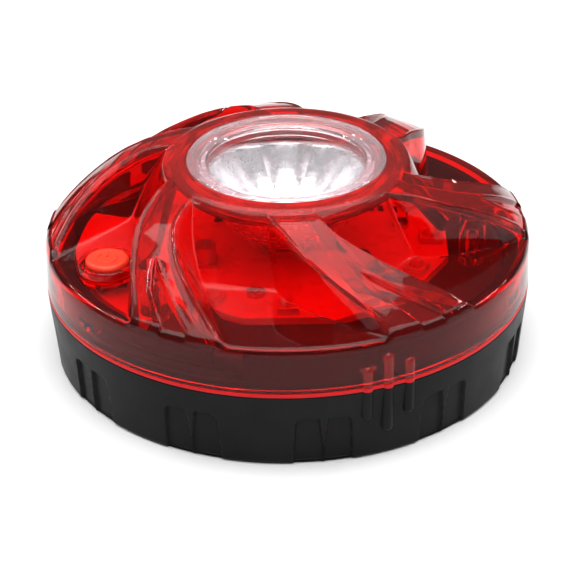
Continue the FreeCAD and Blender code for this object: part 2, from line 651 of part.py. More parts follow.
NODES = {
    "base_shell": make_base_shell,
    "foot_pads": make_foot_pads,
    "magnet_cup": make_magnet_cup,
    "magnet": make_magnet,
    "magnet_screw": make_magnet_screw,
    "hook_pin": make_hook_pin,
    "hook": make_hook,
    "dome_cover": make_dome_cover,
    "seal_ring": make_seal_ring,
    "clear_lens": make_clear_lens,
    "reflector": make_reflector,
    "led_heat_spreader": make_led_heat_spreader,
    "white_led": make_white_led,
    "main_pcb": make_main_pcb,
    "pcb_screws": make_pcb_screws,
    "red_leds": make_red_leds,
    "control_chip": make_control_chip,
    "driver_coil": make_driver_coil,
    "capacitor": make_capacitor,
    "resistors": make_resistors,
    "switch_body": make_switch_body,
    "switch_plunger": make_switch_plunger,
    "power_button": make_power_button,
    "carrier": make_carrier,
    "carrier_screws": make_carrier_screws,
    "contact_springs": make_contact_springs,
    "contact_plates": make_contact_plates,
}

os.makedirs("parts", exist_ok=True)
for name, make in NODES.items():
    make().exportStep("parts/" + name + ".step")
for k in (-1, 0, 1):
    make_battery_cell(k).exportStep("parts/battery_cell_%d.step" % (k + 2))
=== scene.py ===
import bpy
import bmesh
import math
import numpy as np
from mathutils import Matrix, Vector


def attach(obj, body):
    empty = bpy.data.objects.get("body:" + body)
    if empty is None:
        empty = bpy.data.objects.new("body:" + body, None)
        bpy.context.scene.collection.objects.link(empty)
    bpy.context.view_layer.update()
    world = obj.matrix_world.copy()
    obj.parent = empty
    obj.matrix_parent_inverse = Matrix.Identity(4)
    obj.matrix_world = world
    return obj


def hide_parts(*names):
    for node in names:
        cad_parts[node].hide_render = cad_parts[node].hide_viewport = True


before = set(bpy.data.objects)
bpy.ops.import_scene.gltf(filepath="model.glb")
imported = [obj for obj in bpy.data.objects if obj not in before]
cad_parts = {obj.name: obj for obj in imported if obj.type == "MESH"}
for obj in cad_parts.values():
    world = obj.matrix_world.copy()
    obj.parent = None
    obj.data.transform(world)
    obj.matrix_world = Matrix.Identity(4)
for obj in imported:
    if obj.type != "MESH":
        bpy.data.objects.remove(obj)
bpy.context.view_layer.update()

# The part is a red twist-lock warning puck: +Z up, front towards -Y. Lengths below are millimetres
# unless a name or comment says otherwise; meshes are written in metres.
MM = 0.001
SECTORS = 6             # blades and pockets round the cover
SECTOR = 360.0 / SECTORS


# ---------------------------------------------------------------- small helpers
def smooth_steps(x, lo, hi):
    t = np.clip((x - lo) / (hi - lo), 0.0, 1.0)
    return t * t * (3.0 - 2.0 * t)


def soft_line(points, xs, width):
    """Interpolates (x, y) points and rounds the corners over that width."""
    px, py = np.array(points, float).T
    out = np.zeros_like(xs, dtype=float)
    taps = np.linspace(-1.0, 1.0, 9)
    weights = 1.0 - np.abs(taps) * 0.8
    for tap, weight in zip(taps, weights):
        x = xs + tap * width
        y = np.interp(x, px, py)
        low = x < px[0]
        high = x > px[-1]
        y = np.where(low, py[0] + (x - px[0]) * (py[1] - py[0]) / (px[1] - px[0]), y)
        y = np.where(high, py[-1] + (x - px[-1]) * (py[-1] - py[-2]) / (px[-1] - px[-2]), y)
        out += weight * y
    return out / weights.sum()


def soft_max(a, b, k):
    h = np.clip(0.5 + 0.5 * (a - b) / k, 0.0, 1.0)
    return b + (a - b) * h + k * h * (1.0 - h)


def soft_clamp(t, k):
    """Clamps to 0..1 with corners rounded over k."""
    low = soft_max(t, np.zeros_like(t), k)
    return 1.0 - soft_max(1.0 - low, np.zeros_like(t), k)


def new_mesh(name, verts, faces, smooth=True):
    mesh = bpy.data.meshes.new(name)
    mesh.from_pydata([tuple(v) for v in verts], [], [tuple(f) for f in faces])
    mesh.validate()
    bm = bmesh.new()
    bm.from_mesh(mesh)
    bmesh.ops.recalc_face_normals(bm, faces=bm.faces)
    bm.to_mesh(mesh)
    bm.free()
    if smooth:
        for poly in mesh.polygons:
            poly.use_smooth = True
    obj = bpy.data.objects.new(name, mesh)
    bpy.context.scene.collection.objects.link(obj)
    return obj


def closed_strip(rows):
    """Quads for a grid of rings that closes in both directions; rows is an array (n, m, 3)."""
    n, m = rows.shape[:2]
    index = np.arange(n * m).reshape(n, m)
    a = index
    b = np.roll(index, -1, axis=1)
    c = np.roll(b, -1, axis=0)
    d = np.roll(a, -1, axis=0)
    return rows.reshape(-1, 3), np.stack([a, b, c, d], axis=-1).reshape(-1, 4)


def polar_rows(radius, angle, z):
    return np.stack([radius * np.cos(angle) * MM, radius * np.sin(angle) * MM, z * MM], axis=-1)


def lathe(name, profile, count=160):
    """Closed ring-shaped solid turned about the axis from a closed (radius, height) profile in mm."""
    profile = np.array(profile, float)
    angle = np.linspace(0, 2 * math.pi, count, endpoint=False)[None, :]
    rows = polar_rows(profile[:, :1], angle, np.repeat(profile[:, 1:2], count, axis=1))
    verts, faces = closed_strip(rows)
    return new_mesh(name, verts, faces)


def turned_solid(name, rows_r, rows_z):
    """Closed solid from rows of radii and heights by angle; the first and last rows meet on the axis."""
    count = rows_r.shape[1]
    angle = np.linspace(0, 2 * math.pi, count, endpoint=False)[None, :]
    grid = polar_rows(rows_r, angle, rows_z)
    n = len(grid)
    verts = np.concatenate([grid.reshape(-1, 3), [[0, 0, rows_z[0, 0] * MM], [0, 0, rows_z[-1, 0] * MM]]])
    index = np.arange(n * count).reshape(n, count)
    along = np.roll(index, -1, axis=1)
    faces = np.stack([index[:-1], along[:-1], along[1:], index[1:]], axis=-1).reshape(-1, 4).tolist()
    for k in range(count):
        faces.append([index[0, k], n * count, along[0, k]])
        faces.append([index[-1, k], along[-1, k], n * count + 1])
    return new_mesh(name, verts, faces)


def lathe_solid(name, profile, count=160):
    """Solid turned about the axis from an open profile whose ends lie near the axis."""
    profile = np.array(profile, float)
    rows = np.repeat(profile[:, None, :], count, axis=1)
    return turned_solid(name, rows[:, :, 0], rows[:, :, 1])


def combine(obj, other, operation):
    """Boolean with another object, which is used up."""
    modifier = obj.modifiers.new("combine", "BOOLEAN")
    modifier.operation = operation
    modifier.solver = "MANIFOLD"
    modifier.object = other
    settle(obj)
    bpy.data.objects.remove(other, do_unlink=True)


def cylinder(name, radius, z0, z1, centre=(0.0, 0.0), count=64):
    obj = lathe_solid(name, [(radius * 0.5, z0), (radius, z0), (radius, z1), (radius * 0.5, z1)], count)
    obj.data.transform(Matrix.Translation((centre[0] * MM, centre[1] * MM, 0)))
    return obj


def block(name, x0, x1, y0, y1, z0, z1):
    corners = [(x * MM, y * MM, z * MM) for z in (z0, z1) for y in (y0, y1) for x in (x0, x1)]
    faces = [(0, 1, 3, 2), (4, 6, 7, 5), (0, 4, 5, 1), (2, 3, 7, 6), (0, 2, 6, 4), (1, 5, 7, 3)]
    return new_mesh(name, corners, faces, smooth=False)


def arc_block(name, r0, r1, a0, a1, z0, z1, steps=16):
    """Piece of a ring between two angles in degrees."""
    verts = []
    for k in range(steps + 1):
        a = math.radians(a0 + (a1 - a0) * k / steps)
        for r, z in ((r0, z0), (r1, z0), (r1, z1), (r0, z1)):
            verts.append((r * math.cos(a) * MM, r * math.sin(a) * MM, z * MM))
    faces = [(0, 1, 2, 3), tuple(4 * steps + k for k in (3, 2, 1, 0))]
    for k in range(steps):
        for j in range(4):
            a, b = 4 * k + j, 4 * k + (j + 1) % 4
            faces.append((a, a + 4, b + 4, b))
    return new_mesh(name, verts, faces, smooth=False)


def polar(radius, degrees):
    a = math.radians(degrees)
    return radius * math.cos(a), radius * math.sin(a)


def rounded_open(points, radius=0.25, steps=3):
    """Open profile with its inner corners replaced by short arcs."""
    return [points[0]] + rounded(points, radius, steps)[steps + 1:-(steps + 1)] + [points[-1]]


def rounded(points, radius=0.25, steps=3):
    """Closed profile with each corner replaced by a short arc."""
    pts = [Vector(p) for p in points]
    out = []
    for i, p in enumerate(pts):
        a, b = pts[i - 1] - p, pts[(i + 1) % len(pts)] - p
        r = min(radius, a.length * 0.45, b.length * 0.45)
        s, e = p + a.normalized() * r, p + b.normalized() * r
        for k in range(steps + 1):
            t = k / steps
            q = s * (1 - t) ** 2 + p * 2 * t * (1 - t) + e * t * t
            out.append((q.x, q.y))
    return out


def settle(obj):
    """Applies the object's modifiers."""
    deps = bpy.context.evaluated_depsgraph_get()
    mesh = bpy.data.meshes.new_from_object(obj.evaluated_get(deps))
    obj.modifiers.clear()
    old = obj.data
    obj.data = mesh
    bpy.data.meshes.remove(old)


def auto_smooth(obj, degrees=35):
    """Smooth shading with sharp edges marked where faces meet at a steep angle."""
    bm = bmesh.new()
    bm.from_mesh(obj.data)
    for face in bm.faces:
        face.smooth = True
    limit = math.radians(degrees)
    for edge in bm.edges:
        edge.smooth = not (len(edge.link_faces) == 2 and edge.calc_face_angle(0.0) > limit)
    bm.to_mesh(obj.data)
    bm.free()


# ---------------------------------------------------------------- materials
class Nodes:
    """A Principled material and short ways to wire noise into it."""
    def __init__(self, name):
        self.material = bpy.data.materials.new(name)
        self.material.use_nodes = True
        self.tree = self.material.node_tree
        self.shader = self.tree.nodes["Principled BSDF"]
        self.coords = self.tree.nodes.new("ShaderNodeTexCoord")

    def add(self, kind, **inputs):
        node = self.tree.nodes.new(kind)
        for key, value in inputs.items():
            node.inputs[key.replace("_", " ")].default_value = value
        return node

    def link(self, a, b):
        self.tree.links.new(a, b)

    def set(self, **values):
        for key, value in values.items():
            self.shader.inputs[key.replace("_", " ")].default_value = value

    def noise(self, scale, detail=4.0, roughness=0.5):
        node = self.add("ShaderNodeTexNoise", Scale=scale, Detail=detail, Roughness=roughness)
        self.link(self.coords.outputs["Object"], node.inputs["Vector"])
        return node

    def vary(self, source, socket, low, high, start=0.3, stop=0.7):
        """Drives a number of the shader by a noise between two values."""
        node = self.add("ShaderNodeMapRange")
        node.inputs["From Min"].default_value = start
        node.inputs["From Max"].default_value = stop
        node.inputs["To Min"].default_value = low
        node.inputs["To Max"].default_value = high
        self.link(source.outputs["Fac"], node.inputs["Value"])
        self.link(node.outputs["Result"], self.shader.inputs[socket])

    def colours(self, source, stops):
        ramp = self.tree.nodes.new("ShaderNodeValToRGB")
        while len(ramp.color_ramp.elements) < len(stops):
            ramp.color_ramp.elements.new(0.5)
        for element, (place, colour) in zip(ramp.color_ramp.elements, stops):
            element.position = place
            element.color = (*colour, 1.0)
        self.link(source.outputs["Fac"], ramp.inputs["Fac"])
        self.link(ramp.outputs["Color"], self.shader.inputs["Base Color"])

    def bump(self, source, distance, strength=1.0):
        node = self.add("ShaderNodeBump", Strength=strength, Distance=distance)
        self.link(source.outputs["Fac"], node.inputs["Height"])
        self.link(node.outputs["Normal"], self.shader.inputs["Normal"])


def plastic(name, dark, light, rough=(0.35, 0.5), grain=3500.0, depth=0.00002, blotch=60.0, shine=0.5):
    """Moulded plastic: slight colour drift and fine spark-eroded grain; scales are per metre."""
    n = Nodes(name)
    n.set(Specular_IOR_Level=shine)
    n.colours(n.noise(blotch, 3.0), [(0.3, dark), (0.7, light)])
    n.vary(n.noise(blotch * 3.0, 5.0), "Roughness", *rough)
    n.bump(n.noise(grain, 2.0), depth)
    return n


def metal(name, dark, light, rough=(0.2, 0.35), grain=900.0, depth=0.00001):
    """Plated or bare metal with fine scratches and a slight drift of colour."""
    n = Nodes(name)
    n.set(Metallic=1.0)
    n.colours(n.noise(150.0, 4.0), [(0.3, dark), (0.7, light)])
    n.vary(n.noise(700.0, 4.0), "Roughness", *rough)
    n.bump(n.noise(grain, 3.0), depth)
    return n


RED_CLARITY = 0.985         # transmitted share of the red plastic where it isn't milky
INNER_ROUGHNESS = 0.05      # added where the face attribute "inner" is 1


def clear_plastic(name, tint, absorb, density, ior, rough, wave):
    """Transparent moulding: surface tint, absorption with thickness, faint flow waves.

    With absorption, the face attributes "inner" and "cloudy" make it rougher and milkier.
    """
    n = Nodes(name)
    n.colours(n.noise(25.0, 2.0), [(0.3, tint), (0.7, tuple(min(1.0, c * 1.04) for c in tint))])
    n.set(IOR=ior)
    n.set(Transmission_Weight=RED_CLARITY if density else 1.0)
    n.set(Specular_IOR_Level=0.3 if density else 0.5)
    n.vary(n.noise(120.0, 4.0), "Roughness", *rough)
    n.bump(n.noise(70.0, 2.0), wave, 0.35)
    if density:
        matt = n.tree.nodes.new("ShaderNodeAttribute")
        matt.attribute_name = "inner"
        total = n.tree.nodes.new("ShaderNodeMath")
        total.operation = "MULTIPLY_ADD"
        total.inputs[1].default_value = INNER_ROUGHNESS
        n.link(matt.outputs["Fac"], total.inputs[0])
        n.link(n.shader.inputs["Roughness"].links[0].from_socket, total.inputs[2])
        n.link(total.outputs["Value"], n.shader.inputs["Roughness"])
        cloud = n.tree.nodes.new("ShaderNodeAttribute")
        cloud.attribute_name = "cloudy"
        clear = n.tree.nodes.new("ShaderNodeMath")
        clear.operation = "SUBTRACT"
        clear.inputs[0].default_value = RED_CLARITY
        n.link(cloud.outputs["Fac"], clear.inputs[1])
        n.link(clear.outputs["Value"], n.shader.inputs["Transmission Weight"])
        volume = n.tree.nodes.new("ShaderNodeVolumeAbsorption")
        volume.inputs["Color"].default_value = (*absorb, 1.0)
        volume.inputs["Density"].default_value = density
        n.link(volume.outputs["Volume"], n.tree.nodes["Material Output"].inputs["Volume"])
    return n


RED = clear_plastic("red_polycarbonate", (0.98, 0.09, 0.08), (0.955, 0.0, 0.0), 1300.0, 1.27,
                    (0.02, 0.05), 0.00002)
CLEAR = clear_plastic("clear_polycarbonate", (0.97, 0.95, 0.95), None, 0, 1.4, (0.01, 0.035), 0.00001)
FROST = clear_plastic("lens_rim", (0.95, 0.78, 0.81), None, 0, 1.4, (0.05, 0.10), 0.00001)
FROST.set(Transmission_Weight=0.90)
BLACK = plastic("black_abs", (0.006, 0.006, 0.0065), (0.010, 0.010, 0.0105), (0.36, 0.46), shine=0.07)
DECK = plastic("deck_abs", (0.008, 0.008, 0.008), (0.013, 0.013, 0.013), (0.4, 0.55))
SEAL = plastic("red_silicone", (0.48, 0.006, 0.008), (0.56, 0.010, 0.012), (0.4, 0.5), 2500.0, shine=0.15)
BUTTON = plastic("button_rubber", (0.58, 0.024, 0.006), (0.66, 0.034, 0.010), (0.38, 0.5), 2600.0, shine=0.3)
RUBBER = plastic("pad_rubber", (0.02, 0.02, 0.02), (0.035, 0.035, 0.035), (0.6, 0.75), 2500.0, 0.00004)
BOARD = plastic("white_solder_mask", (0.84, 0.82, 0.80), (0.90, 0.88, 0.86), (0.25, 0.35), 1500.0)
CHROME = metal("vacuum_chrome", (0.88, 0.87, 0.90), (0.95, 0.94, 0.97), (0.22, 0.30))
CHROME.set(Metallic=0.68)
STEEL = metal("plated_steel", (0.52, 0.52, 0.53), (0.66, 0.66, 0.67))
NICKEL = metal("nickel", (0.62, 0.60, 0.56), (0.74, 0.72, 0.68), (0.18, 0.3))
ALU = metal("aluminium", (0.66, 0.67, 0.68), (0.78, 0.79, 0.80), (0.3, 0.42))
FERRITE = metal("magnet_nickel", (0.42, 0.42, 0.43), (0.54, 0.54, 0.55), (0.25, 0.4))
CELL = metal("cell_wrap", (0.10, 0.11, 0.13), (0.16, 0.17, 0.20), (0.25, 0.35))
CHIP = plastic("chip_epoxy", (0.02, 0.02, 0.022), (0.035, 0.035, 0.037), (0.5, 0.65), 4000.0)
LED_BODY = plastic("led_body", (0.75, 0.70, 0.66), (0.86, 0.82, 0.78), (0.2, 0.3))
PHOSPHOR = plastic("led_phosphor", (0.80, 0.62, 0.12), (0.88, 0.72, 0.20), (0.2, 0.3))
IVORY = plastic("switch_stem", (0.60, 0.59, 0.55), (0.72, 0.71, 0.66), (0.35, 0.5))


def give(obj, nodes):
    """Replaces the object's materials by one."""
    obj.data.materials.clear()
    obj.data.materials.append(nodes.material)


for node, look in {
        "foot_pads": RUBBER, "magnet_cup": STEEL, "magnet": FERRITE, "magnet_screw": STEEL,
        "hook_pin": STEEL, "hook": BLACK, "led_heat_spreader": ALU, "white_led": PHOSPHOR,
        "main_pcb": BOARD, "pcb_screws": STEEL, "red_leds": LED_BODY, "control_chip": CHIP,
        "driver_coil": CHIP, "capacitor": ALU, "resistors": CHIP, "switch_body": CHIP,
        "carrier": DECK, "carrier_screws": STEEL, "battery_cell_1": CELL, "battery_cell_2": CELL,
        "battery_cell_3": CELL, "contact_springs": NICKEL, "contact_plates": NICKEL,
        "switch_plunger": IVORY, "base_shell": BLACK}.items():
    for material_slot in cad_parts[node].material_slots:
        material_slot.material = look.material

# ---------------------------------------------------------------- cover
JOINT_R = 52.5          # outside radius at the joint with the base
RIM_R, RIM_Z = 52.2, 27.4
BAND_IN, WALL = 50.2, 2.0
COVER_Z = 17.65         # bottom edge of the cover
RIM_ROUND = 1.3
# one pocket and the blade before it: the crest's profile as radius and height, the sides as radius and angle
CREST = [(19.0, 44.0), (24.6, 44.0), (25.4, 43.68), (26.0, 43.5), (28.7, 42.9), (31.5, 42.1), (35.0, 40.75),
         (38.5, 39.1), (41.3, 37.4), (44.0, 35.4), (46.5, 33.35), (48.8, 31.1), (50.6, 29.2), (52.2, 27.4)]
LEFT_CREST = [(26.0, -77.0), (31.0, -73.8), (33.4, -71.5), (36.5, -67.8), (40.0, -62.9), (42.8, -58.4),
              (45.5, -54.2), (48.6, -48.8), (52.2, -43.8)]
LEFT_FOOT = [(26.0, -66.5), (30.0, -64.8), (34.0, -61.0), (37.9, -54.8), (40.5, -51.9), (43.5, -49.1),
             (46.3, -46.8), (49.3, -44.7), (52.2, -42.6)]
RIGHT_FOOT = [(26.0, -43.0), (30.0, -37.2), (32.1, -33.8), (35.4, -30.4), (37.9, -26.4), (41.3, -20.9),
              (44.8, -15.9), (48.0, -11.8), (52.2, -7.0)]
RIGHT_CREST = [(26.0, -39.5), (28.9, -35.9), (31.0, -32.6), (33.7, -29.4), (37.2, -25.4), (42.2, -18.4),
               (45.7, -13.6), (48.3, -10.2), (52.2, -5.6)]
# inner foot of the pocket floor as angle and radius
INNER_FOOT = [(-66.0, 34.6), (-61.0, 33.8), (-52.8, 32.7), (-45.0, 32.0), (-38.5, 31.7), (-33.0, 32.0)]
INNER_CREST_R = 26.3
FLOOR_R, FLOOR_Z = 33.0, 29.1       # a place on the pocket floors, which fall from here to the rim
# the outlines above are radius and angle; their corners are rounded over these spans of radius
CREST_SOFT, LEFT_SOFT, RIGHT_SOFT, GROOVE_SOFT = 0.35, 1.5, 1.2, 0.6
CORNER = 0.9                        # rounding at the crest and the foot of a pocket's side
# shallow triangular groove on each blade
GROOVE_START_R = 41.2
GROOVE_LOW = [(GROOVE_START_R, -70.0), (46.6, -65.5), (49.3, -61.7), (52.2, -57.8)]
GROOVE_HIGH = [(GROOVE_START_R, -70.0), (46.0, -61.5), (49.5, -55.4), (52.2, -50.4)]
GROOVE_DEPTH = 0.8
BEAD_H, BEAD_W, BEAD_IN = 0.28, 0.34, 0.45      # raised edge lines: height, width, distance in from the edge


def floor_height(r):
    """Height of the conical pocket floors."""
    return FLOOR_Z - (r - FLOOR_R) * (FLOOR_Z - RIM_Z) / (RIM_R - FLOOR_R)


def left_side(r, inset):
    """Angles of the crest and the foot of a pocket's left side; inset moves them into the plastic."""
    arc = np.degrees(inset / r)
    return soft_line(LEFT_CREST, r, LEFT_SOFT) - arc, soft_line(LEFT_FOOT, r, LEFT_SOFT) - arc


def right_side(r, inset):
    """The same for the right side."""
    arc = np.degrees(inset / r)
    return soft_line(RIGHT_CREST, r, RIGHT_SOFT) + arc, soft_line(RIGHT_FOOT, r, RIGHT_SOFT) + arc


def groove_sides(r):
    return soft_line(GROOVE_LOW, r, GROOVE_SOFT), soft_line(GROOVE_HIGH, r, GROOVE_SOFT)


def cover_height(r, phi, inset):
    """Height of the cover's outside (inset 0) or inside (inset the wall) at radius r and angle phi."""
    crest = soft_line(CREST, r, CREST_SOFT)
    floor = floor_height(r) - inset
    slope = np.gradient(crest[:, 0], r[:, 0])[:, None]
    crest = crest - inset * np.sqrt(1.0 + np.clip(slope, -1.3, 0.0) ** 2)
    left_c, left_f = left_side(r, inset)
    right_c, right_f = right_side(r, inset)
    t_left = (left_f - phi) / (left_f - left_c)
    t_right = (phi - right_f) / (right_c - right_f)
    inner_f = soft_line(INNER_FOOT, phi, 3.0) - inset
    inner_c = INNER_CREST_R - inset
    t_inner = (inner_f - r) / (inner_f - inner_c)
    rise = np.maximum(crest - floor, 0.05)
    corner = CORNER / rise
    t = soft_max(soft_max(t_left, t_right, corner), t_inner, corner)
    return floor + rise * soft_clamp(t, np.minimum(corner * 1.1, 0.45))


def sector_angles(r, inset, counts):
    """Angles of the grid lines of one sector for each radius, crowded at the edges of pocket and groove."""
    left_c, left_f = left_side(r, inset)
    right_c, right_f = right_side(r, inset)
    low, high = groove_sides(r)
    far = left_c + SECTOR
    width = far - right_c
    grooved = r > GROOVE_START_R
    apex = (SECTOR + GROOVE_LOW[0][1] - right_c) / width
    blend = smooth_steps(r, 36.0, 42.0)
    share_low = (1 - blend) * 0.45 + blend * np.where(grooved, (low + SECTOR - right_c) / width, apex)
    share_high = (1 - blend) * 0.55 + blend * np.where(grooved, (high + SECTOR - right_c) / width, apex)
    share_high = np.maximum(share_high, share_low + 0.03)
    marks = [left_c, left_f, right_f, right_c, right_c + width * share_low, right_c + width * share_high, far]
    lines = []
    for k, count in enumerate(counts):
        share = 0.5 - 0.5 * np.cos(np.pi * np.arange(count) / count)
        lines.append(marks[k] + (marks[k + 1] - marks[k]) * share[None, :])
    return np.concatenate(lines, axis=1)


def groove_sink(r, phi):
    """Depth of the groove below the blade's crest."""
    low, high = groove_sides(r)
    inside = np.minimum((phi - low), (high - phi)) * np.radians(1.0) * r
    return GROOVE_DEPTH * smooth_steps(inside, -0.1, 0.3) * smooth_steps(r, 41.0, 42.5)


def edge_beads(r, phi):
    """Fine raised lines along both edges of a blade and round its groove."""
    per_degree = np.radians(1.0) * r
    left = (phi - left_side(r, 0.0)[0]) * per_degree + BEAD_IN
    right = (phi - right_side(r, 0.0)[0]) * per_degree - BEAD_IN
    low, high = groove_sides(r)
    groove = np.minimum(phi - low, high - phi) * per_degree + BEAD_IN
    along = smooth_steps(r, 27.0, 30.0) * (1.0 - smooth_steps(r, 49.5, 50.8))
    beads = np.exp(-(left / BEAD_W) ** 2) + np.exp(-(right / BEAD_W) ** 2)
    beads = beads + np.exp(-(groove / BEAD_W) ** 2) * smooth_steps(r, 41.0, 42.5)
    return BEAD_H * along * beads


def cover_surface(radii, inset, counts):
    """Radii, angles in radians and heights of the whole outside or inside surface as a grid."""
    r = radii[:, None]
    phi = sector_angles(r, inset, counts)
    rr = np.repeat(r, phi.shape[1], axis=1)
    # a blade lies between two pockets, so its height is the lower of what each of them gives
    z = cover_height(rr, phi, inset)
    z_next = cover_height(rr, phi - SECTOR, inset)
    z = np.minimum(z, z_next)
    if inset == 0:
        z = z - groove_sink(rr, phi) - groove_sink(rr, phi - SECTOR)
        z = z + edge_beads(rr, phi) + edge_beads(rr, phi - SECTOR)
    angles = np.concatenate([phi + SECTOR * k for k in range(SECTORS)], axis=1)
    heights = np.concatenate([z] * SECTORS, axis=1)
    return np.repeat(r, angles.shape[1], axis=1), np.radians(angles), heights


# alignment ribs: angle, lowest point, highest point
RIBS = [(-72.8, 9.6, 22.2), (-68.0, 6.1, 24.6), (-62.8, 9.2, 22.3)]
RIB_R, RIB_AT = 1.25, 51.8
RIB_CLOUD, BLADE_CLOUD, RING_CLOUD = 0.12, 0.05, 0.08     # how milky the red plastic looks there
RING_MATT = 3.0         # added roughness on the ring round the lens, in multiples of INNER_ROUGHNESS


def rib(angle, z0, z1, round_low, round_high, radius=RIB_R):
    """One alignment rib between two heights, with a round or a flat end each way."""
    turn = np.linspace(0, math.pi / 2, 9)
    low = [(max(radius * math.sin(t), 0.02), z0 + radius - radius * math.cos(t)) for t in turn]
    high = [(max(radius * math.cos(t), 0.02), z1 - radius + radius * math.sin(t)) for t in turn]
    if not round_low:
        low = [(0.02, z0), (radius, z0)]
    if not round_high:
        high = [(radius, z1), (0.02, z1)]
    profile = low + high
    obj = lathe_solid("rib", profile, 40)
    x, y = polar(RIB_AT, angle)
    obj.data.transform(Matrix.Translation((x * MM, y * MM, 0)))
    return obj


def stations(marks, counts):
    """Radii spaced evenly between the marks, with that many in each span; the last mark is included."""
    spans = []
    for k, count in enumerate(counts):
        last = k == len(counts) - 1
        spans.append(np.linspace(marks[k], marks[k + 1], count, endpoint=last))
    return np.concatenate(spans)


def make_cover():
    """Shell of the cover as one grid: top surface, rim, band, inside and lens seat."""
    counts = (26, 18, 24, 14, 16, 16)
    radii = stations((21.9, 25.6, 27.6, 36.0, 49.5, RIM_R - RIM_ROUND), (8, 10, 30, 38, 6))
    r, a, z = cover_surface(radii, 0.0, counts)
    last_a = a[-1]
    rows = [polar_rows(r, a, z)]
    # rim edge: rolls over from the top surface into the upright band
    top = z[-1]
    band_top = RIM_Z - RIM_ROUND * 1.25
    steps = []
    for turn in np.linspace(0.0, math.pi / 2, 9)[1:]:
        rad = RIM_R - RIM_ROUND * (1.0 - math.sin(turn))
        steps.append((rad, top - (top - band_top) * (1 - math.cos(turn))))
    for height in np.concatenate([np.linspace(25.2, 18.2, 8), [17.95, 17.8, 17.7]]):
        rad = RIM_R + (JOINT_R - RIM_R) * (RIM_Z - height) / (RIM_Z - COVER_Z)
        steps.append((rad - 0.04 * max(0.0, 17.95 - height) / 0.25, height))
    for rad, height in steps:
        rows.append(polar_rows(np.full_like(top, rad), last_a, height + np.zeros_like(top))[None])
    # underside of the band and its inside
    for rad, height in ((51.9, COVER_Z), (50.5, COVER_Z), (BAND_IN, 17.85), (BAND_IN, 20.0), (BAND_IN, 22.5),
                        (BAND_IN, 24.2)):
        rows.append(polar_rows(np.full_like(top, rad), last_a, np.full_like(top, height))[None])
    inner_radii = stations((23.0, 26.5, 35.0, 50.0), (10, 26, 34))[::-1]
    ri, ai, zi = cover_surface(inner_radii, WALL, counts)
    zi = np.minimum(zi, 41.6)
    rows.append(polar_rows(ri, ai, zi))
    # collar under the lens seat, seat, and back to the top
    first = a[0]
    for rad, height in ((23.4, 39.2), (23.0, 39.0), (19.8, 39.0), (19.4, 39.3), (19.4, 40.8), (19.6, 41.0),
                        (21.35, 41.0), (21.4, 41.3), (21.4, 43.6), (21.5, 43.88), (21.7, 44.0)):
        rows.append(polar_rows(np.full_like(first, rad), first, np.full_like(first, height))[None])
    rows = np.concatenate(rows, axis=0)
    verts, faces = closed_strip(rows)
    obj = new_mesh("cover_moulding", verts, faces)
    give(obj, RED)
    return obj


BUTTON_AT = polar(42.3, -152.0)
BUTTON_R = 4.6
FLANGE_R, FLANGE_Z0, FLANGE_Z1 = 5.4, 27.05, 27.75      # flange that holds the button in
SCREWS = [polar(40.0, a) for a in (-12.5, 107.5, 227.5)]
LOCK_ANGLES = (96.0, 216.0, 336.0)      # middles of the lugs when locked, degrees
LUG_HALF = 3.0                          # degrees
LOCK_TURN = 40.0                        # degrees
LUG_Z0, LUG_Z1 = 19.6, 21.6


def finish_cover(obj):
    """Adds the screw bosses, the button's boss, the lugs and the ribs."""
    for x, y in SCREWS:
        combine(obj, cylinder("boss", 2.8, 22.1, 34.0, (x, y)), "UNION")
        combine(obj, cylinder("hole", 1.1, 20.0, 31.0, (x, y), 24), "DIFFERENCE")
    boss = rounded([(3.0, 26.6), (6.2, 26.6), (6.45, 28.4), (6.15, 30.2), (3.0, 30.2)], 0.35)
    ring = lathe("boss", boss, 96)
    ring.data.transform(Matrix.Translation((BUTTON_AT[0] * MM, BUTTON_AT[1] * MM, 0)))
    combine(obj, ring, "UNION")
    combine(obj, cylinder("bore", BUTTON_R + 0.35, 24.0, 33.0, BUTTON_AT, 96), "DIFFERENCE")
    combine(obj, cylinder("bore", FLANGE_R + 0.4, 24.0, FLANGE_Z1 + 0.25, BUTTON_AT, 96), "DIFFERENCE")
    for angle in LOCK_ANGLES:
        lug = arc_block("lug", 48.4, 50.6, angle - LUG_HALF, angle + LUG_HALF, LUG_Z0, LUG_Z1)
        combine(obj, lug, "UNION")
    for angle, low, high in RIBS:
        combine(obj, rib(angle, COVER_Z + 0.03, high, False, True), "UNION")
    auto_smooth(obj, 50)
    mark_faces(obj)


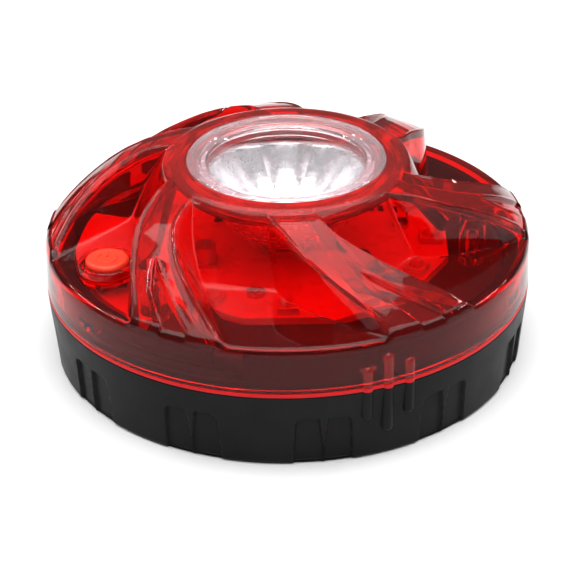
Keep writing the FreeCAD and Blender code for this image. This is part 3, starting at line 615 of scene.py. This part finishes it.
def mark_faces(obj):
    """Marks the faces where the mould is less polished and those where the plastic looks milky."""
    count = len(obj.data.polygons)
    centres, normals = np.empty(count * 3), np.empty(count * 3)
    obj.data.polygons.foreach_get("center", centres)
    obj.data.polygons.foreach_get("normal", normals)
    x, y, z = (centres.reshape(-1, 3) / MM).T
    radius = np.hypot(x, y)
    above = z > floor_height(radius) - 1.4
    inner = above & ((normals.reshape(-1, 3)[:, 2] < -0.05) | ((z < 41.5) & (radius < 26.0)))
    top_ring = (z > 43.2) & (radius < 25.8)
    matt = np.where(top_ring, RING_MATT, inner.astype(float))
    obj.data.attributes.new("inner", "FLOAT", "FACE").data.foreach_set("value", matt)
    rise = np.interp(radius, [r for r, h in CREST], [h for r, h in CREST]) - z
    blade = (rise < 1.2) & (radius > 25.8) & (radius < 51.0) & (normals.reshape(-1, 3)[:, 2] > 0.1)
    near_rib = np.zeros(count, bool)
    for angle, low, high in RIBS:
        rib_x, rib_y = polar(RIB_AT, angle)
        near_rib |= (np.hypot(x - rib_x, y - rib_y) < RIB_R + 0.05) & (radius > 52.3) & (z < high + 0.1)
    cloudy = np.where(near_rib, RIB_CLOUD, np.where(blade, BLADE_CLOUD, np.where(top_ring, RING_CLOUD, 0.0)))
    obj.data.attributes.new("cloudy", "FLOAT", "FACE").data.foreach_set("value", cloudy)


cover = make_cover()
finish_cover(cover)

# ---------------------------------------------------------------- lens and reflector
lens_profile = rounded_open([
    (0.5, 42.8), (16.9, 42.8), (17.25, 43.3), (18.2, 43.35), (18.5, 43.72), (19.75, 43.78), (20.1, 44.1),
    (21.0, 44.1), (21.3, 43.75), (21.3, 41.02), (19.2, 41.02), (19.2, 39.92), (17.3, 39.92), (17.3, 41.2),
    (0.5, 41.2)], 0.12)
lens = lathe_solid("lens_moulding", lens_profile, 240)
auto_smooth(lens, 40)
give(lens, CLEAR)
lens.data.materials.append(FROST.material)
WINDOW_R = 17.1         # the clear window ends here and the frosted rim begins
for poly in lens.data.polygons:
    if math.hypot(poly.center.x, poly.center.y) > WINDOW_R * MM:
        poly.material_index = 1

PETALS = 8


def make_reflector():
    """Chromed bowl of eight lobes that meet in inward creases."""
    share = np.linspace(-1.0, 1.0, 25)[:-1]
    share = np.sign(share) * (1.0 - (1.0 - np.abs(share)) ** 1.3)
    half = math.pi / PETALS
    angle = np.concatenate([half * (2 * k + share) for k in range(PETALS)]) + math.pi / 2
    dip = np.tile(np.abs(share), PETALS)[None, :] ** 1.7
    bowl = np.array([(3.1, 25.35), (3.5, 25.6), (5.2, 26.1), (7.2, 26.9), (9.0, 27.95), (10.7, 29.3),
                     (12.2, 30.9), (13.5, 32.7), (14.6, 34.6), (15.5, 36.5), (16.3, 38.4), (16.85, 39.7),
                     (17.0, 39.9)])
    fine = np.linspace(0, len(bowl) - 1, 60)
    r = np.interp(fine, range(len(bowl)), bowl[:, 0])[:, None]
    z = np.interp(fine, range(len(bowl)), bowl[:, 1])[:, None]
    lobe = 0.085 * smooth_steps(r, 3.0, 9.0)
    inside = polar_rows(r * (1.0 - lobe * dip), angle[None, :], np.repeat(z, len(angle), axis=1))
    outside = []
    level = np.ones((1, len(angle)))
    for rad, height in ((17.4, 39.9), (18.9, 39.9), (19.0, 39.8), (19.0, 39.0), (18.9, 38.9), (17.8, 38.9),
                        (17.2, 36.6), (14.6, 31.4), (10.0, 26.8), (6.0, 25.6), (6.0, 25.25), (3.1, 25.25)):
        outside.append(polar_rows(rad * level, angle[None, :], height * level))
    verts, faces = closed_strip(np.concatenate([inside] + outside))
    obj = new_mesh("reflector_bowl", verts, faces)
    auto_smooth(obj, 24)
    give(obj, CHROME)
    return obj


reflector = make_reflector()

# ---------------------------------------------------------------- base
FOOT_R, SHOULDER_Z = 51.2, 16.65
NOTCH_DEPTH = 0.75


def wall_radius(z):
    """Outside radius of the base's slightly tapered wall."""
    return FOOT_R + (JOINT_R - FOOT_R) * (z - 0.8) / (SHOULDER_Z - 0.8)


def notch_sink(angle, z):
    """Depth of the grip notches: a panel with rounded shoulders and a tapering wedge in its middle."""
    step = math.pi / 6
    across = ((angle - math.radians(-52.5) + step / 2) % step - step / 2) * 51.6
    half = 5.7 + (10.4 - z) * 0.055
    corner = 1.5
    dx = np.maximum(np.abs(across) - (half - corner), 0.0)
    dz = np.maximum(z - (11.5 - corner), 0.0)
    panel = corner - np.sqrt(dx ** 2 + dz ** 2)
    wedge = np.abs(across) - 0.85 * np.clip((z - 4.0) / 7.5, 0.0, 1.0)
    inside = np.minimum(panel, wedge)
    return NOTCH_DEPTH * smooth_steps(inside, -0.05, 0.4)


def make_base():
    """Black base: notched wall, collar with the lock's slots, recesses for hook, magnet and feet."""
    count = 1440
    angle = np.linspace(0, 2 * math.pi, count, endpoint=False)
    signed = (angle + math.pi) % (2 * math.pi) - math.pi
    lower = rounded_open([(0.5, 1.0), (47.5, 1.0), (47.5, 0.2), (50.4, 0.2), (51.0, 0.4), (51.2, 0.85)], 0.2)
    upper = rounded_open([(JOINT_R - 0.02, 16.45), (JOINT_R - 0.2, SHOULDER_Z), (49.8, SHOULDER_Z),
                          (49.8, 24.4), (49.4, 24.8), (47.8, 24.8), (47.8, 14.5), (49.2, 12.5), (49.2, 7.0),
                          (0.5, 7.0)], 0.2)
    heights = np.concatenate([np.linspace(0.95, 12.2, 50), np.linspace(12.45, 16.35, 14)])
    rows = []
    for r, z in lower:
        sink = notch_sink(signed, np.full(count, z)) if r > 50.3 else 0.0
        rows.append((r - np.zeros(count) - sink * (0.4 if r < 51 else 0.8), np.full(count, z)))
    for z in heights:
        level = np.full(count, z)
        rows.append((wall_radius(z) - notch_sink(signed, level), level))
    for r, z in upper:
        level = np.full(count, z)
        rows.append((r + np.zeros(count), level))
    obj = turned_solid("base_moulding", np.array([r for r, z in rows]), np.array([z for r, z in rows]))
    combine(obj, block("room", -10.2, 10.2, 17.6, 46.6, -1.0, 5.6), "DIFFERENCE")
    combine(obj, cylinder("seat", 13.1, -1.0, 4.6), "DIFFERENCE")
    for k in range(4):
        combine(obj, cylinder("pocket", 3.5, -1.0, 1.8, polar(42.0, 45 + 90 * k), 48), "DIFFERENCE")
    spare = LUG_HALF + 0.6
    for angle in LOCK_ANGLES:
        end = angle + LOCK_TURN
        run = arc_block("run", 46.8, 50.4, angle - spare, end + spare, LUG_Z0 - 0.4, LUG_Z1 + 0.4)
        combine(obj, run, "DIFFERENCE")
        mouth = arc_block("mouth", 46.8, 50.4, end - spare, end + spare, LUG_Z0 - 0.4, 27.0)
        combine(obj, mouth, "DIFFERENCE")
    for angle, low, high in RIBS:
        combine(obj, rib(angle, low, SHOULDER_Z - 0.02, True, False), "UNION")
    auto_smooth(obj, 50)
    give(obj, BLACK)
    return obj


base = make_base()


def make_seal():
    """Red gasket on the shoulder, with a bead at each rib."""
    ring_profile = rounded([(49.85, 16.68), (52.5, 16.68), (52.5, 17.53), (49.85, 17.53)], 0.2)
    obj = lathe("seal_bead", ring_profile, 720)
    for angle, low, high in RIBS:
        combine(obj, rib(angle, 16.69, 17.52, False, False, RIB_R + 0.03), "UNION")
    auto_smooth(obj, 40)
    give(obj, SEAL)
    return obj


seal = make_seal()


def make_button():
    """Rubber cap with a soft dished top and a raised power sign."""
    profile = rounded_open([(0.4, 30.78), (2.9, 30.82), (3.5, 30.9), (4.1, 30.88), (4.58, 30.3),
                            (BUTTON_R, FLANGE_Z1), (FLANGE_R, FLANGE_Z1), (FLANGE_R, FLANGE_Z0),
                            (0.4, FLANGE_Z0)], 0.3, 4)
    cap = lathe_solid("button_cap", profile, 128)
    gap = math.radians(38)
    arc = np.linspace(math.pi / 2 + gap, math.pi / 2 + 2 * math.pi - gap, 48)
    sign_r, sign_half = 2.05, 0.24
    for path in ([(sign_r * math.cos(a), sign_r * math.sin(a)) for a in arc],
                 [(0.0, y) for y in np.linspace(0.55, 2.35, 8)]):
        combine(cap, raised_line("sign", path, sign_half, 30.6, 30.98), "UNION")
    cap.data.transform(Matrix.Translation((BUTTON_AT[0] * MM, BUTTON_AT[1] * MM, 0)))
    auto_smooth(cap, 40)
    give(cap, BUTTON)
    return cap


def raised_line(name, path, half, z0, z1):
    """Closed bar of constant width along a path, with a chamfered top."""
    verts, faces = [], []
    pts = [Vector(p) for p in path]
    section = ((-half, z0), (-half, z1 - 0.1), (-half * 0.6, z1),
               (half * 0.6, z1), (half, z1 - 0.1), (half, z0))
    for i, p in enumerate(pts):
        ahead = pts[min(i + 1, len(pts) - 1)] - pts[max(i - 1, 0)]
        side = Vector((-ahead.y, ahead.x)).normalized()
        for across, z in section:
            q = p + side * across
            verts.append((q.x * MM, q.y * MM, z * MM))
    n = len(section)
    for i in range(len(pts) - 1):
        for j in range(n):
            a, b = i * n + j, i * n + (j + 1) % n
            faces.append((a, b, b + n, a + n))
    faces.append(tuple(range(n)))
    faces.append(tuple(reversed(range((len(pts) - 1) * n, len(pts) * n))))
    return new_mesh(name, verts, faces)


button = make_button()

# ---------------------------------------------------------------- camera, light, floor
CAMERA_AT = (0.0, -0.36718, 0.22101)        # metres
CAMERA_AIM = (0.0, 0.86878, -0.49519)
CAMERA_ROLL = -0.76                         # degrees
SENSOR = 36.0
FOCAL_IN_WIDTHS = 1913.47 / 576.0           # focal length as a share of the picture's width


def make_camera():
    data = bpy.data.cameras.new("camera")
    data.sensor_width = SENSOR
    data.lens = SENSOR * FOCAL_IN_WIDTHS
    cam = bpy.data.objects.new("camera", data)
    bpy.context.scene.collection.objects.link(cam)
    cam.location = CAMERA_AT
    aim = Vector(CAMERA_AIM).to_track_quat("-Z", "Y")
    cam.rotation_mode = "QUATERNION"
    cam.rotation_quaternion = aim @ Matrix.Rotation(math.radians(CAMERA_ROLL), 4, "Z").to_quaternion()
    bpy.context.scene.camera = cam


def area(name, place, target, size, power):
    """Rectangular lamp in metres and watts that faces a target."""
    data = bpy.data.lights.new(name, "AREA")
    data.shape = "RECTANGLE"
    data.size, data.size_y = size
    data.energy = power
    lamp = bpy.data.objects.new(name, data)
    bpy.context.scene.collection.objects.link(lamp)
    lamp.location = place
    lamp.rotation_euler = (Vector(target) - Vector(place)).to_track_quat("-Z", "Y").to_euler()


def make_studio():
    """Pale floor, soft lamps above and a dim surround that brightens upwards."""
    world = bpy.data.worlds.new("studio")
    bpy.context.scene.world = world
    world.use_nodes = True
    tree = world.node_tree
    coords = tree.nodes.new("ShaderNodeTexCoord")
    split = tree.nodes.new("ShaderNodeSeparateXYZ")
    ramp = tree.nodes.new("ShaderNodeValToRGB")
    tree.links.new(coords.outputs["Generated"], split.inputs["Vector"])
    tree.links.new(split.outputs["Z"], ramp.inputs["Fac"])
    ramp.color_ramp.elements[0].position = 0.0
    ramp.color_ramp.elements[0].color = (0.12, 0.12, 0.12, 1.0)
    ramp.color_ramp.elements[1].position = 1.0
    middle = ramp.color_ramp.elements.new(0.62)
    middle.color = (0.16, 0.16, 0.16, 1.0)
    ramp.color_ramp.elements[2].color = (0.7, 0.7, 0.7, 1.0)
    tree.links.new(ramp.outputs["Color"], tree.nodes["Background"].inputs["Color"])
    area("top_softbox", (0.0, 0.0, 0.95), (0, 0, 0.03), (1.4, 1.3), 25.0)
    area("front_softbox", (0.0, -0.86, 0.95), (0, -0.86, 0.0), (1.4, 0.42), 5.5)
    area("strip_left", (-0.75, 0.25, 0.55), (0, 0, 0.03), (0.6, 0.03), 3.0)
    area("strip_right", (0.75, 0.2, 0.5), (0, 0, 0.03), (0.6, 0.03), 3.0)
    half = 3.0
    corners = [(-half, -half, 0), (half, -half, 0), (half, half, 0), (-half, half, 0)]
    floor = new_mesh("floor", corners, [(0, 1, 2, 3)])
    n = Nodes("floor_white")
    n.colours(n.noise(3.0), [(0.3, (0.60, 0.60, 0.60)), (0.7, (0.62, 0.62, 0.62))])
    n.vary(n.noise(5.0), "Roughness", 0.7, 0.8)
    give(floor, n)
    bpy.context.scene.view_settings.view_transform = "Standard"


make_camera()
make_studio()

for piece, body, node in ((cover, "cover", "dome_cover"), (lens, "cover", "clear_lens"),
                          (reflector, "cover", "reflector"), (base, "base", "base_shell"),
                          (seal, "base", "seal_ring"), (button, "button", "power_button")):
    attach(piece, body)
    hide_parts(node)
